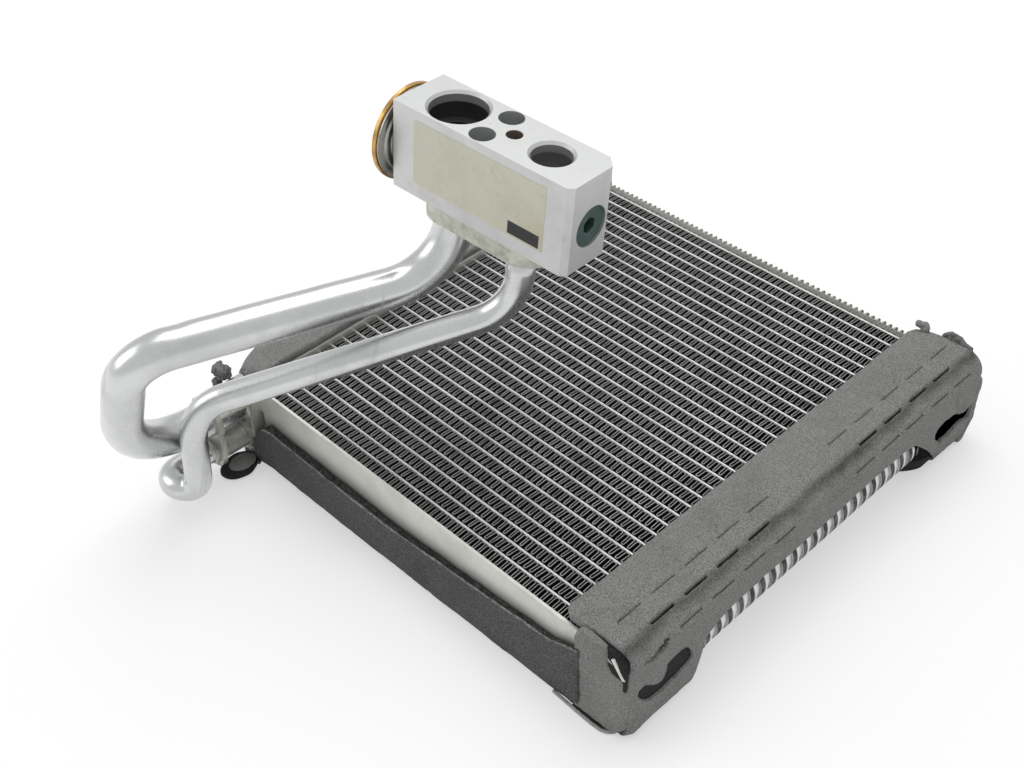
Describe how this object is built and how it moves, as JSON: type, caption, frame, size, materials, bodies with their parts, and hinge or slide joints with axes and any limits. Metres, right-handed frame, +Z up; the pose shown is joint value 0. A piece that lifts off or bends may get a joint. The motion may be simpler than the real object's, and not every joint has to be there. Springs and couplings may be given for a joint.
{
  "type": "evaporator core",
  "caption": "Vehicle air-conditioning evaporator: flat tubes and folded fins between two headers, foam trim, two bent pipes and a block expansion valve.",
  "frame": {"origin": "under the middle of the part's bounding box in plan, on the surface that the part lies on", "axes": "+X along the flat tubes from the pipe-side header to the return header, +Y along the headers away from the pipes, +Z up through the core's depth"},
  "size_m": [0.2464, 0.3122, 0.1843],
  "materials": {
    "bright_tube": "bright, lightly scratched",
    "fin_sheet": "dull, folded",
    "plate": "satin, brazed",
    "tank": "satin, pressed",
    "cap": "dull, brazed",
    "pipe": "bright drawn tube",
    "flange": "dull, cream-grey bloom",
    "bolt": "grey-green passivated",
    "seal": "smooth",
    "block": "machined, fine grain",
    "inner_shell": "spun, ringed",
    "outer_shell": "gold passivated steel look",
    "steel": "ground",
    "brass": "turned",
    "spring": "drawn wire",
    "plug": "dark green-grey anodised",
    "copper": "brazed tip",
    "label": "matt, stained",
    "grey_foam": "open foam, speckled",
    "black_foam": "open foam, dark"
  },
  "bodies": {
    "core": {"tubes_upper": "bright_tube", "tubes_lower": "bright_tube", "fins": "fin_sheet", "side_plate_near": "plate", "side_plate_far": "plate", "inlet_header_plate": "plate", "inlet_tank": "tank", "inlet_tank_caps": "cap", "inlet_baffles": "cap", "return_header_plate": "plate", "return_tank": "tank", "return_tank_caps": "cap", "suction_pipe": "pipe", "liquid_pipe": "pipe", "liquid_sleeve": "cap", "pipe_tie_plate": "cap", "flange_plate": "flange", "flange_bolts": "bolt", "suction_seal": "seal", "liquid_seal": "seal", "valve_body": "block", "head_inner_shell": "inner_shell", "head_outer_shell": "outer_shell", "diaphragm": "steel", "rod_seal": "seal", "valve_spring": "spring", "adjusting_plug": "plug", "charge_plug": "copper", "valve_label": "label", "return_foam": "grey_foam", "side_foam": "black_foam", "inlet_foam": "grey_foam", "inlet_end_pad": "black_foam"},
    "valve_needle": {"diaphragm_pad": "steel", "sensing_rod": "steel", "valve_ball": "steel", "ball_carrier": "brass"}
  },
  "joints": [
    {"name": "valve_lift", "type": "slide", "parent": "core", "child": "valve_needle", "axis": [0.9952, 0.0731, -0.0645], "range_m": [0, 0.0007], "stiffness_N_per_m": 6000, "deforming": ["valve_spring"]}
  ]
}
